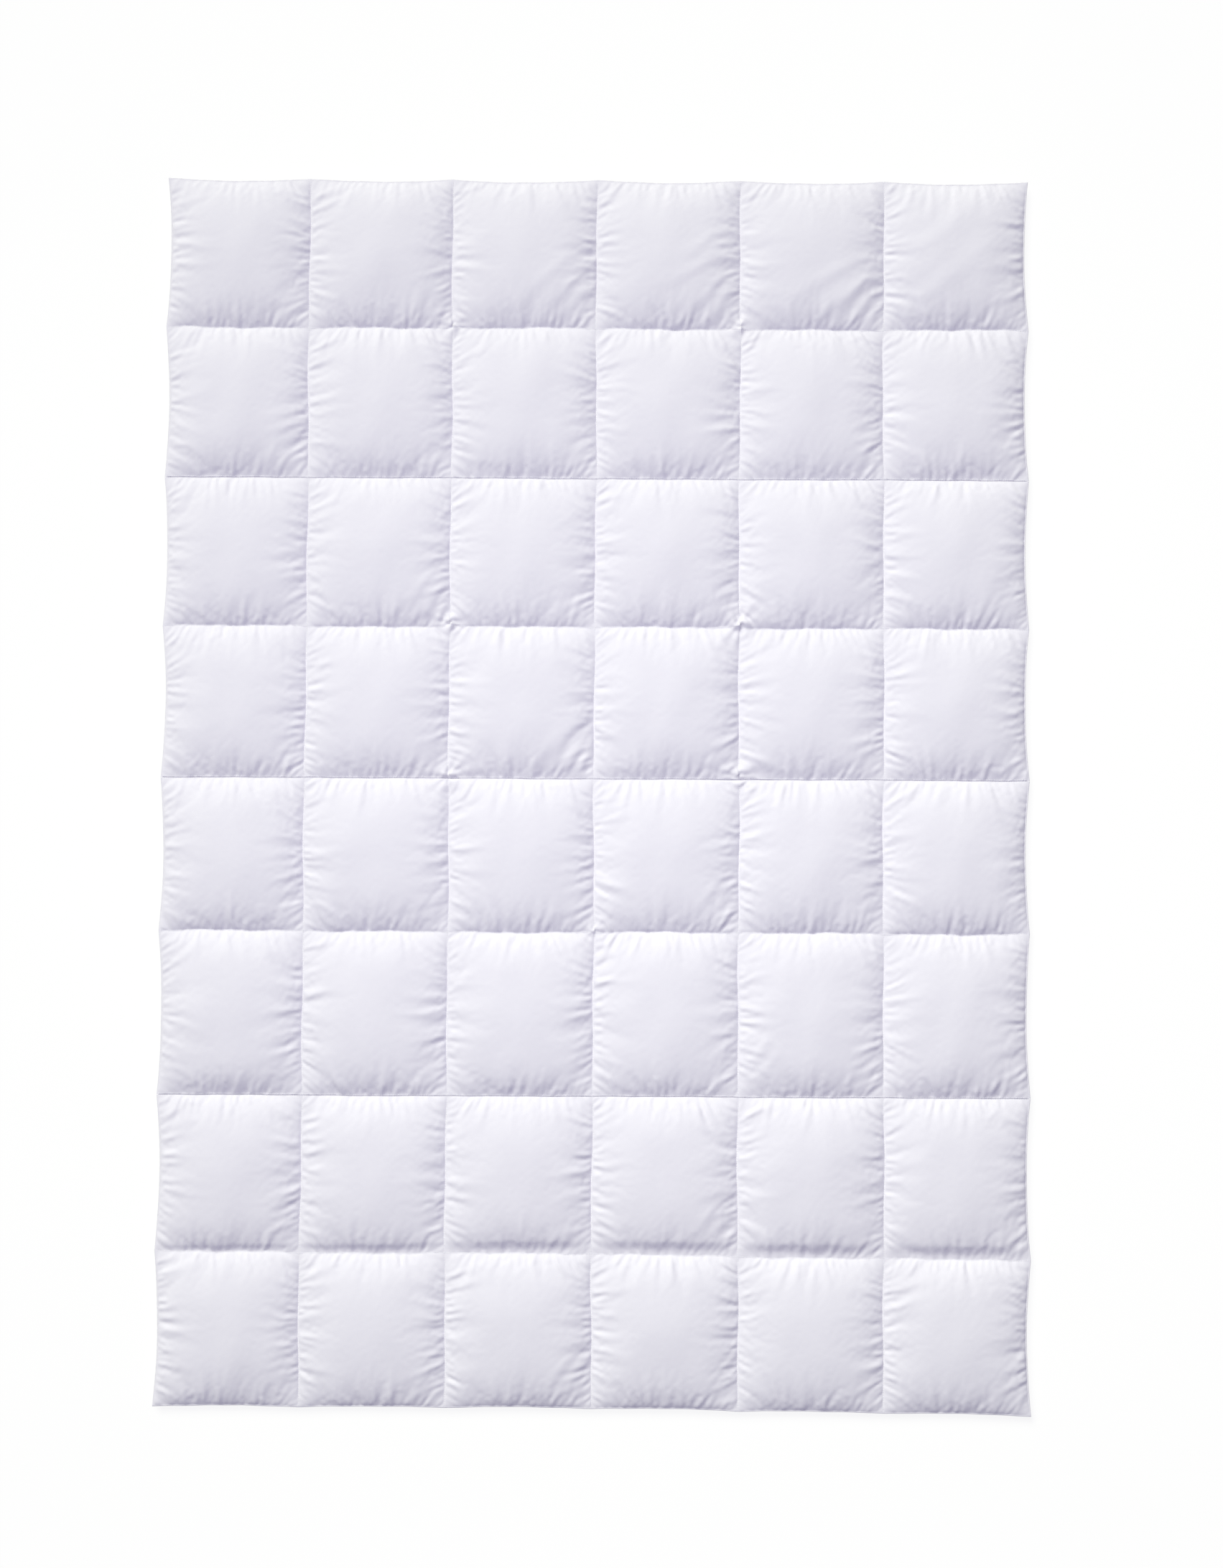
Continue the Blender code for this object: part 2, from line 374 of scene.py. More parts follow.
@dataclass(frozen=True)
class Crown:
    """Profile of a filled box: steep where it leaves its seams, then a slow rise to the middle."""

    shoulder: float = 0.62  # share of the height that the steep part gains
    foot_shoulder: float = 0.72  # the same share at the foot end of a box
    reach: float = 0.027  # distance over which the steep part eases off
    tuck: float = 0.035  # share of the height gained right beside the seam, where the stitches pull the cloth in
    tuck_reach: float = 0.0013  # distance over which that eases off
    side_tuck: float = 0.065  # the same share at the right of a box
    foot_tuck: float = 0.065  # the same share at the foot end of a box, where the fill has sunk to
    head_ease: float = 0.0035  # distance over which the cloth leaves the seam at the head end of a box
    side_ease: float = 0.003  # the same at the right of a box
    foot_ease: float = 0.0065  # the same at its foot end
    fold_reach: float = 0.12  # how near a fold the foot end has no tuck, so that the folded panels stay clear

    def over(self, grid: Grid) -> np.ndarray:
        """The profile over a grid.

        Args:
            grid: The points.

        Returns:
            From 0 on a seam to about 1 in the middle of a box.
        """
        right, head = grid.gap_x < 0, grid.gap_y < 0
        eased_x = np.where(right, self._eased(grid.gap_x, self.side_ease), grid.gap_x)
        tuck_x = np.where(right, self.side_tuck, self.tuck)
        eased_y = self._eased(grid.gap_y, np.where(head, self.head_ease, self.foot_ease))
        tucked = (grid.gap_y > 0) & (grid.to_fold >= self.fold_reach)
        tuck_y = np.where(tucked, self.foot_tuck, 0.0)
        shoulder_y = np.where(head, self.shoulder, self.foot_shoulder)
        across = self._profile(eased_x, tuck_x, self.shoulder, grid.share_x)
        return across * self._profile(eased_y, tuck_y, shoulder_y, grid.share_y)

    def _eased(self, gap: np.ndarray, ease: np.ndarray | float) -> np.ndarray:
        """Distances from a seam for cloth that leaves it nearly flat."""
        return gap * gap / (np.abs(gap) + ease)

    def _profile(
        self, gap: np.ndarray, tuck: np.ndarray, shoulder: np.ndarray | float, share: np.ndarray
    ) -> np.ndarray:
        """The profile along one axis.

        Args:
            gap: Distance from the nearest seam.
            tuck: Share of the height gained right beside it.
            shoulder: Share of the height that the steep part gains.
            share: How far through the box each point lies.

        Returns:
            The steep, the tucked and the slow part together.
        """
        steep = 1 - np.exp(-gap / self.reach)
        pulled = (1 - np.exp(-gap / self.tuck_reach)) * np.exp(-gap / self.reach)
        return tuck * pulled + shoulder * steep + (1 - shoulder) * arch(share)


@dataclass(frozen=True)
class Crease:
    """A long soft wrinkle in one box."""

    row: int  # row of the box, counted from the head
    column: int  # column of the box, counted from -X
    start: tuple[float, float]  # one end, as shares of the box from its head end's left corner
    end: tuple[float, float]  # the other end
    height: float  # its height
    width: float  # its width
    sway: float = 0.006  # how far it bends to the sides
    bends: float = 5.0  # how much it bends from end to end, in radians
    widths: tuple[float, float] = (0.6, 1.5)  # its width at its start and its end, as shares of the width
    hollow: float = 0.6  # depth of the hollow beside it, as a share of its height
    hollow_off: float = 1.7  # how many widths away that lies
    blunt: float = 0.7  # how bluntly it ends, as a power

    def raised(self, grid: Grid) -> np.ndarray:
        """Height of the wrinkle, with the hollow beside it.

        Args:
            grid: The points.

        Returns:
            Heights in metres, 0 outside the box.
        """
        q = grid.quilting
        left, right = q.seams_x[self.column - 1], q.seams_x[self.column]
        head, foot = q.seams_y[-self.row], q.seams_y[-self.row - 1]
        inside = (grid.x > left) & (grid.x < right) & (grid.y > foot) & (grid.y < head)
        a, b = (
            np.array([left + (right - left) * u, head + (foot - head) * v]) for u, v in (self.start, self.end)
        )
        length = np.linalg.norm(b - a)
        along = (b - a) / length
        run = (grid.x - a[0]) * along[0] + (grid.y - a[1]) * along[1]
        off = (grid.x - a[0]) * -along[1] + (grid.y - a[1]) * along[0]
        off = off + self.sway * np.sin(run / length * self.bends)
        share = np.clip(run / length, 0, 1)
        wide = self.width * (self.widths[0] + (self.widths[1] - self.widths[0]) * share)
        hollow = self.hollow * np.exp(-((off / wide - self.hollow_off) ** 2))
        lobe = np.exp(-((off / wide) ** 2)) - hollow
        return np.where(inside, self.height * lobe * np.sin(math.pi * share) ** self.blunt, 0)


@dataclass(frozen=True)
class Knot:
    """A crossing of two seams where the cloth is bunched up under the stitches."""

    column: int  # lengthwise seam, counted from the one after the first column
    row: int  # crosswise seam, counted from the one after the first row
    height: float  # height of the bunched cloth
    size: float  # its size
    twist: float  # how far its folds are turned, in radians
    rise: float = 0.4  # how far it sits towards the head end, as a share of its size
    curl: float = 190.0  # turn of its folds for each metre away from the crossing, in radians
    split: float = 0.44  # how deeply the lump is cut in two, as a share of its height
    star: float = 0.30  # height of the folds around it, as the same share
    rays: int = 7  # how many of those there are
    star_reach: float = 1.6  # how far they run, in sizes of the knot

    def raised(self, grid: Grid) -> np.ndarray:
        """Height of the bunched cloth and the folds around it.

        Args:
            grid: The points.

        Returns:
            Heights in metres.
        """
        q = grid.quilting
        dx = grid.x - q.seams_x[self.column]
        dy = grid.y - q.seams_y[-1 - self.row] - self.rise * self.size
        out = np.hypot(dx, dy) + 1e-9
        turn = np.arctan2(dy, dx)
        core = np.exp(-((out / self.size) ** 2))
        lump = core * (1 - self.split + self.split * np.cos(2 * turn + out * self.curl + self.twist))
        folds = np.exp(-out / (self.star_reach * self.size)) * (1 - core)
        star = self.star * folds * np.cos(self.rays * turn + 2.0 * np.sin(2 * turn + self.twist))
        return self.height * (lump + star)


Line = tuple[tuple[float, float], tuple[float, float]]


def fan(row: int, column: int, lines: Sequence[Line], height: float = 0.0011, width: float = 0.007) -> list[Crease]:
    """Wrinkles of one kind in one box.

    Args:
        row: Row of the box.
        column: Column of the box.
        lines: Where they start and end, as shares of the box.
        height: Their height.
        width: Their width.

    Returns:
        The wrinkles.
    """
    return [Crease(row, column, start, end, height, width) for start, end in lines]


CORNER_FAN = (
    ((0.985, 0.60), (0.66, 0.84)),
    ((0.985, 0.74), (0.76, 0.93)),
    ((0.985, 0.86), (0.87, 0.97)),
)
LONG_CREASES = (
    *fan(1, 3, CORNER_FAN),
    *fan(1, 3, (((0.97, 0.45), (0.36, 0.86)),), height=0.0007, width=0.010),
    *fan(1, 4, CORNER_FAN, height=0.0013),
    *fan(1, 4, (((0.98, 0.32), (0.55, 0.50)), ((0.98, 0.52), (0.40, 0.70))), height=0.0008, width=0.009),
    *fan(1, 5, CORNER_FAN, height=0.0015, width=0.008),
    *fan(1, 5, (((0.98, 0.50), (0.30, 0.78)), ((0.98, 0.66), (0.44, 0.95))), height=0.0011, width=0.011),
    *fan(1, 6, (((0.10, 0.52), (0.72, 0.12)), ((0.06, 0.88), (0.85, 0.40))), height=0.0010, width=0.016),
    *fan(3, 2, CORNER_FAN, height=0.0008),
    *fan(4, 3, CORNER_FAN, height=0.0014),
    *fan(4, 3, (((0.98, 0.55), (0.46, 0.98)),), height=0.0010, width=0.010),
    *fan(5, 4, CORNER_FAN[:2], height=0.0009),
    *fan(2, 5, CORNER_FAN[1:], height=0.0009),
    *fan(7, 4, CORNER_FAN[:2], height=0.0009),
    *fan(8, 3, CORNER_FAN, height=0.0009),
    *fan(6, 5, (((0.03, 0.90), (0.34, 0.72)), ((0.03, 0.78), (0.26, 0.62))), height=0.0008),
)
KNOTS = (
    Knot(2, 1, height=0.0060, size=0.012, twist=0.4),
    Knot(4, 1, height=0.0060, size=0.012, twist=2.1),
    Knot(2, 3, height=0.0080, size=0.014, twist=1.2),
    Knot(4, 3, height=0.0085, size=0.018, twist=3.6),
    Knot(2, 4, height=0.0080, size=0.016, twist=5.0),
    Knot(4, 4, height=0.0085, size=0.017, twist=0.9),
    Knot(3, 5, height=0.0045, size=0.011, twist=4.0),
)


@dataclass
class QuiltedCloth:
    """The shape of the whole upper cloth, and of the lower one made from it."""

    lattice: Lattice  # the grid lines that it is made on
    recipe: ClothRecipe = field(default_factory=ClothRecipe)  # how it is simulated
    crown: Crown = field(default_factory=Crown)  # the profile of a filled box
    side_pull: float = 0.007  # how far a full box draws the side in between two seam ends
    head_pull: float = 0.005  # the same for the head end
    foot_pull: float = 0.0025  # the same for the foot end
    pull_power: float = 1.5  # how fast that fades towards the last seam, as a power
    # how far each lengthwise seam lies to the right of an even plan
    seam_shifts: tuple[float, ...] = (-0.0065, -0.005, -0.0015, 0.001, 0.0035)
    # how far the last crosswise seam lies above it, at even steps from left to right
    last_seam: tuple[float, ...] = (-0.004, -0.0055, -0.006, -0.0105, -0.014)
    foot_edge: tuple[float, ...] = (0.007, 0.006, 0.006, 0.001, -0.0036)  # the same for the edge at the foot end
    seam_wander: float = 0.0014  # how far a seam strays sideways
    wander_reach: float = 0.12  # how far from the seam the cloth goes with it
    edge_reach: float = 0.1  # how near the duvet's edge a seam strays less
    edge_wander: float = 0.3  # share of the straying that is left at the edge
    fold_reach: float = 0.15  # how near a fold a seam strays less
    fold_wander: float = 0.35  # share of the straying that is left there
    waves_x: tuple[float, ...] = (0.9, 0.41, 0.17)  # wavelengths of that on the lengthwise seams
    waves_y: tuple[float, ...] = (0.8, 0.37, 0.16, 0.07)  # and on the crosswise ones
    crown_height: float = 0.0265  # height of the middle of a box over its seams
    loft_spread: float = 0.06  # how much that differs from box to box, as a share
    pucker_gain: float = 0.66  # share of the wrinkles that is kept beside the seams
    pucker_reach: float = 0.042  # how far from a seam the puckers run
    pucker_rest: float = 0.30  # share of those that is left in the middle of a box
    pucker_bias: float = 0.28  # how much fainter they are at the head end and the left of a box
    calm_reach: float = 0.04  # how far from a corner of a box the simulated wrinkles are calmed
    fold_slope: float = 0.94  # steepest chord beside a fold, so that folded panels stay clear of each other
    overhang: float = 0.0012  # how far the foot end of a box hangs over its seam
    overhang_reach: float = 0.025  # distance from the seam over which that fades out
    overhang_clear: float = 0.05  # how near a fold there is none
    flat_band: float = 0.0055  # width of the flat strip above the last crosswise seam
    swell_height: float = 0.0008  # height of the swells that uneven fill makes
    swell_waves: int = 9  # how many waves those are made of
    swell_lengths: tuple[float, float] = (0.075, 0.17)  # shortest and longest of them

    def __post_init__(self) -> None:
        """Draws how the seams stray."""
        self.rng = np.random.default_rng(SEED)
        q = self.lattice.quilting
        self.stray_x = [Stray(self.waves_x, self.rng) for _ in q.seams_x]
        self.stray_y = [Stray(self.waves_y, self.rng) for _ in q.seams_y]

    def plan(self, grid: Grid) -> np.ndarray:
        """The flat cloth after full boxes have drawn its outer edges in and its seams have strayed.

        Args:
            grid: The points on a perfectly even plan.

        Returns:
            Points, shape (rows, columns, 3).
        """
        q, x, y = grid.quilting, grid.x, grid.y
        reach_x = np.clip((np.abs(x) - q.seams_x[-2]) / (q.edge_x - q.seams_x[-2]), 0, 1)
        inner_y = np.where(y > 0, q.seams_y[-2], -q.seams_y[1])
        reach_y = np.clip((np.abs(y) - inner_y) / (q.edge_y - inner_y), 0, 1)
        end_pull = np.where(y > 0, self.head_pull, self.foot_pull)
        move_x = -np.sign(x) * self.side_pull * arch(grid.share_y) * reach_x**self.pull_power
        move_y = -np.sign(y) * end_pull * arch(grid.share_x) * reach_y**self.pull_power
        move_x += np.interp(x, (-q.edge_x, *q.seams_x[1:-1], q.edge_x), (0, *self.seam_shifts, 0))
        move_y += self._foot_moves(grid)
        inside_x, inside_y = (
            np.clip((edge - np.abs(places)) / self.edge_reach, self.edge_wander, 1)
            for edge, places in ((q.edge_x, x), (q.edge_y, y))
        )
        inside_y *= np.clip(grid.to_fold / self.fold_reach, self.fold_wander, 1)
        move_x += self._strayed(x, y, q.seams_x, self.stray_x) * inside_x
        move_y += self._strayed(y, x, q.seams_y, self.stray_y) * inside_y
        return np.stack([x + move_x, y + move_y, np.zeros_like(x)], -1)

    def _foot_moves(self, grid: Grid) -> np.ndarray:
        """How far the last crosswise seam and the foot edge lie from an even plan.

        Args:
            grid: The points.

        Returns:
            Moves along Y.
        """
        q = grid.quilting
        to_seam = np.clip((q.folds[0] - grid.y) / (q.folds[0] - q.seams_y[1]), 0, 1)
        to_edge = np.clip((q.seams_y[1] - grid.y) / (q.seams_y[1] + q.edge_y), 0, 1)
        steps = np.linspace(-q.edge_x, q.edge_x, len(self.last_seam))
        at_seam, at_edge = (np.interp(grid.x, steps, moves) for moves in (self.last_seam, self.foot_edge))
        return to_seam * (1 - to_edge) * at_seam + to_edge * at_edge

    def _strayed(
        self, off: np.ndarray, run: np.ndarray, seams: Sequence[float], strays: Sequence[Stray]
    ) -> np.ndarray:
        """How far the seams of one direction stray sideways.

        Args:
            off: Coordinates across the seams.
            run: Coordinates along them.
            seams: The seams.
            strays: A random line for each of them.

        Returns:
            Moves across the seams.
        """
        lines = zip(seams, strays)
        return self.seam_wander * sum(
            np.clip(1 - np.abs(off - seam) / self.wander_reach, 0, 1) * stray.at(run) for seam, stray in lines
        )

    def _puckers(self) -> np.ndarray:
        """Simulates the cloth's wrinkles.

        Returns:
            Displacements on the simulated grid, without the swell of the boxes.
        """
        lattice, grid = self.lattice, self.lattice.simulated
        plan = self.plan(grid)
        held = np.ones(grid.x.shape, bool)
        held[1:-1, 1:-1] = False
        held[:, lattice.columns] = True
        held[lattice.rows, :] = True
        ease = np.clip(np.minimum(np.abs(grid.gap_x), np.abs(grid.gap_y)) / self.recipe.dome_reach, 0, 1)
        noise = self.rng.standard_normal(ease.shape)
        start = plan.copy()
        start[..., 2] = np.where(held, 0, self.recipe.dome * ease + self.recipe.roughness * noise)
        corner = grid.near_corner(self.recipe.corner_reach)
        return self._without_swell(self.recipe.simulate(start, held, corner) - plan)

    def _without_swell(self, move: np.ndarray) -> np.ndarray:
        """Takes out what all boxes have in common.

        Args:
            move: Displacements on the simulated grid.

        Returns:
            What is left of them.
        """
        lattice = self.lattice
        inner = slice(lattice.rows[0], lattice.rows[-1]), slice(lattice.columns[0], lattice.columns[-1])
        boxes = move[inner].reshape(ROWS, lattice.cells[1], COLUMNS, lattice.cells[0], 3)
        left = np.zeros_like(move)
        left[inner] = (boxes - boxes.mean((0, 2), keepdims=True)).reshape(move[inner].shape)
        return left

    def shaped(self) -> np.ndarray:
        """Puts the filled cloth together.

        Returns:
            Displacements from its plan on the shown grid.
        """
        grid, coarse = self.lattice.shown, self.lattice.simulated
        move = resampled(self._puckers(), coarse.lines_y, grid.lines_y, 0)
        move = resampled(move, coarse.lines_x, grid.lines_x, 1)
        move *= self._kept(grid)[..., None]
        crown = self.crown.over(grid) * self._loft(grid)
        height = self.crown_height * crown + move[..., 2]
        height += sum(crease.raised(grid) for crease in LONG_CREASES)
        height += self.swell_height * self._swells(grid) * np.clip(crown, 0, 1) ** 2
        move[..., 2] = np.maximum(height, 0)
        low_end = np.where(grid.gap_y > 0, np.exp(-grid.gap_y / self.overhang_reach), 0)
        clear = np.clip((grid.to_fold - self.overhang_clear) / self.overhang_clear, 0, 1)
        move[..., 1] -= self.overhang * low_end * np.clip(crown * 3, 0, 1) * clear
        return move

    def _kept(self, grid: Grid) -> np.ndarray:
        """How much of the simulated wrinkles is shown.

        Args:
            grid: The points.

        Returns:
            Shares of about 0 to 1, largest beside the foot end and the right of a box.
        """
        from_x, from_y = np.abs(grid.gap_x), np.abs(grid.gap_y)
        near = np.exp(-((np.minimum(from_x, from_y) / self.pucker_reach) ** 2))
        kept = self.pucker_rest + (1 - self.pucker_rest) * near
        kept *= 1 - 0.9 * grid.near_corner(self.calm_reach)
        lit = np.where(from_x < from_y, 1 - grid.share_x, grid.share_y)
        return self.pucker_gain * kept * (1 - self.pucker_bias * lit)

    def _swells(self, grid: Grid) -> np.ndarray:
        """Broad faint swells, where the fill lies unevenly.

        Args:
            grid: The points.

        Returns:
            Values of about -1 to 1.
        """
        total = np.zeros_like(grid.x)
        for _ in range(self.swell_waves):
            turn, phase = 2 * math.pi * self.rng.random(2)
            along = grid.x * math.cos(turn) + grid.y * math.sin(turn)
            total += np.sin(2 * math.pi * along / self.rng.uniform(*self.swell_lengths) + phase)
        return total / math.sqrt(self.swell_waves)

    def _loft(self, grid: Grid) -> np.ndarray:
        """How full each box is, a little different from box to box."""
        full = 1 + self.loft_spread * (self.rng.random((ROWS, COLUMNS)) - 0.5)
        return full[box_of(grid.y, grid.quilting.seams_y), box_of(grid.x, grid.quilting.seams_x)]


@dataclass
class SeamPuckers:
    """Tapered folds that the stitches draw into the cloth on both sides of every seam."""

    spacing: float = 0.0095  # mean distance from one fold to the next along a seam
    height: float = 0.0025  # height of the tallest folds
    width: float = 0.0033  # width of a fold at its seam
    spread: float = 0.085  # how much wider a fold gets for each metre away from its seam
    rise: float = 0.0045  # distance from the seam over which a fold reaches its height
    lengths: tuple[float, float] = (0.012, 0.050)  # shortest and longest fold
    lean: float = 0.75  # how far a fold leans towards the nearest corner of its box, as a slope
    stray_lean: float = 0.35  # how far it leans at random, as a share of that
    steps: tuple[float, float] = (0.45, 1.55)  # least and most distance to the next fold, in spacings
    heights_from: float = 0.2  # height of the lowest folds, as a share of the tallest
    short_power: float = 1.8  # how much short folds outnumber long ones, as a power
    hollow: float = 0.55  # depth of the hollow beside a fold, as a share of its height
    hollow_off: float = 1.6  # how many widths away that lies
    followed: float = 2.2  # how far from the seam a fold is made, in lengths of the longest

    def heights(self, grid: Grid, rng: np.random.Generator) -> np.ndarray:
        """Height of the folds over a grid.

        Args:
            grid: The points.
            rng: Source of their places, lengths and leans.

        Returns:
            Heights in metres, 0 on the seams.
        """
        q = grid.quilting
        total = np.zeros_like(grid.x)
        for seams, crossed, places, others, field_ in (
            (q.seams_x, q.seams_y, grid.lines_x, grid.lines_y, total.T),
            (q.seams_y, q.seams_x, grid.lines_y, grid.lines_x, total),
        ):
            for seam in seams:
                for side in (-1, 1):
                    self._along_seam(field_, (places - seam) * side, others, crossed, rng)
        return total

    def _along_seam(
        self,
        field_: np.ndarray,
        gaps: np.ndarray,
        runs: np.ndarray,
        crossed: Sequence[float],
        rng: np.random.Generator,
    ) -> None:
        """Adds the folds on one side of one seam.

        Args:
            field_: Heights that they are added to, with a row for each of the gaps.
            gaps: How far each row lies from the seam, negative on its other side.
            runs: Where each column lies along the seam.
            crossed: The seams that cross it.
            rng: Source of the folds' places, lengths and leans.
        """
        near = np.flatnonzero((gaps > 0) & (gaps < self.followed * self.lengths[1]))
        if not len(near):
            return
        off = gaps[near][:, None]
        place = runs[0]
        while place < runs[-1]:
            place += self.spacing * rng.uniform(*self.steps)
            length = self.lengths[0] + (self.lengths[1] - self.lengths[0]) * rng.random() ** self.short_power
            box = int(box_of(np.array(place), crossed))
            low, high = crossed[box], crossed[box + 1]
            to_corner = 2 * float(along_box(np.array(place), crossed)) - 1
            lean = self.lean * (to_corner + self.stray_lean * rng.uniform(-1, 1))
            turn, height = rng.choice((-1.0, 1.0)), rng.uniform(self.heights_from, 1.0)
            some = np.flatnonzero((runs > low) & (runs < high))
            across = (runs[some] - place - lean * off) / (self.width + self.spread * off)
            lobe = np.exp(-(across**2)) - self.hollow * np.exp(-((across - self.hollow_off * turn) ** 2))
            fade = (1 - np.exp(-off / self.rise)) * np.exp(-((off / length) ** 2))
            ends = 1 - np.exp(-np.minimum(runs[some] - low, high - runs[some]) / (2 * self.rise))
            field_[np.ix_(near, some)] += self.height * height * fade * ends * lobe


# --------------------------------------------------------------------------- meshes and objects


def new_object(name: str, data: bpy.types.ID) -> bpy.types.Object:
    """A new object in the scene, at the frame's origin."""
    thing = bpy.data.objects.new(name, data)
    bpy.context.scene.collection.objects.link(thing)
    return thing


def quads_of(index: np.ndarray) -> np.ndarray:
    """Four-sided faces between the rows and columns of a grid of point numbers."""
    return np.stack([index[:-1, :-1], index[:-1, 1:], index[1:, 1:], index[1:, :-1]], -1).reshape(-1, 4)


def smooth_mesh(name: str, points: np.ndarray, faces: list[list[int]]) -> bpy.types.Mesh:
    """A smooth-shaded mesh.

    Args:
        name: Its name.
        points: Its points, in any shape that ends in 3.
        faces: The numbers of each face's points.

    Returns:
        The mesh.
    """
    mesh = bpy.data.meshes.new(name)
    mesh.from_pydata(points.reshape(-1, 3).tolist(), [], faces)
    mesh.shade_smooth()
    return mesh


def grid_mesh(name: str, points: np.ndarray, facing: int) -> bpy.types.Mesh:
    """A smooth-shaded mesh of four-sided faces through a grid of points.

    Args:
        name: The mesh's name.
        points: Grid of points, shape (rows, columns, 3), with X rising along a row and Y along a column.
        facing: 1 for faces that point up, -1 for down.

    Returns:
        The mesh, with a map that follows the grid.
    """
    rows, columns = points.shape[:2]
    faces = quads_of(np.arange(rows * columns).reshape(rows, columns))[:, ::facing]
    mesh = smooth_mesh(name, points, faces.tolist())
    across, along = np.meshgrid(np.linspace(0, 1, columns), np.linspace(0, 1, rows))
    layer = mesh.uv_layers.new(name="OFBake")
    places = np.stack([across, along], -1).reshape(-1, 2)[faces.reshape(-1)]
    layer.data.foreach_set("uv", places.reshape(-1))
    return mesh


def fitted(
    piece: bpy.types.Object, finish: bpy.types.Material, panel: str, node: str
) -> bpy.types.Object:
    """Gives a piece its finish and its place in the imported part.

    Args:
        piece: The piece.
        finish: Its material.
        panel: The panel that it moves with.
        node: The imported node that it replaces.

    Returns:
        The piece.
    """
    piece.data.materials.append(finish)
    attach(piece, f"{panel}_panel")
    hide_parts(node)
    return piece


